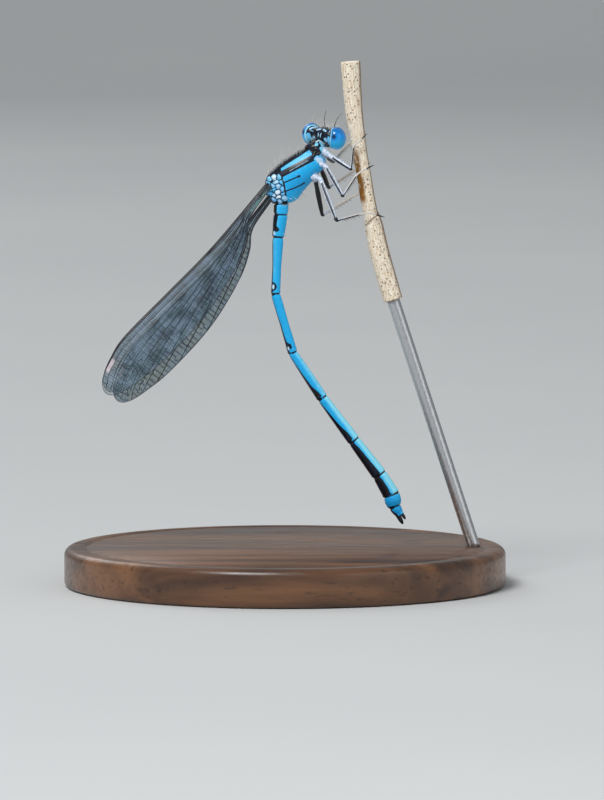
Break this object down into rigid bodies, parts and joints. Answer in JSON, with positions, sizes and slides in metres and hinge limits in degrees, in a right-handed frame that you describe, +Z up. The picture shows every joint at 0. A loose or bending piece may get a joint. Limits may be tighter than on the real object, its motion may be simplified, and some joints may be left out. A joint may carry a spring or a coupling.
{
  "type": "damselfly",
  "caption": "Blue male damselfly with wings folded, gripping a short cut length of dry stem, on a rod and a round wooden display base.",
  "frame": {"origin": "centre of the round base's underside", "axes": "+Z up; the insect's plane of symmetry is Y = 0, its right side faces -Y, and the stem stands on its +X side"},
  "size_m": [0.034, 0.034, 0.0404],
  "materials": {
    "blue_cuticle": "satin sky-blue insect cuticle with black markings",
    "head_cuticle": "black cuticle with pale blue spots",
    "dark_cuticle": "satin black cuticle",
    "compound_eye": "glossy blue compound eye, darker at the back",
    "wing_membrane": "clear smoky membrane with black veins",
    "leg_cuticle": "pale lavender-blue cuticle with a dark stripe",
    "dry_stem": "dry cream-beige stem with brown flecks",
    "stand_steel": "fine brushed steel rod",
    "stand_wood": "dark oiled walnut, turned"
  },
  "bodies": {
    "root": {"head": "head_cuticle", "eye_left": "compound_eye", "antenna_left": "dark_cuticle", "eye_right": "compound_eye", "antenna_right": "dark_cuticle", "prothorax": "blue_cuticle", "thorax": "blue_cuticle", "abdomen_1": "blue_cuticle", "abdomen_2": "blue_cuticle", "abdomen_3": "blue_cuticle", "abdomen_4": "blue_cuticle", "abdomen_5": "blue_cuticle", "abdomen_6": "blue_cuticle", "abdomen_7": "blue_cuticle", "abdomen_8": "blue_cuticle", "abdomen_9": "blue_cuticle", "abdomen_10": "blue_cuticle", "clasper_left": "dark_cuticle", "clasper_right": "dark_cuticle", "wing_fore_left": "wing_membrane", "wing_fore_right": "wing_membrane", "wing_hind_left": "wing_membrane", "wing_hind_right": "wing_membrane", "leg_fore_left": "leg_cuticle", "leg_fore_right": "leg_cuticle", "leg_mid_left": "leg_cuticle", "leg_mid_right": "leg_cuticle", "leg_hind_left": "leg_cuticle", "leg_hind_right": "leg_cuticle", "perch": "dry_stem", "stand_rod": "stand_steel", "stand_base": "stand_wood"}
  },
  "joints": []
}
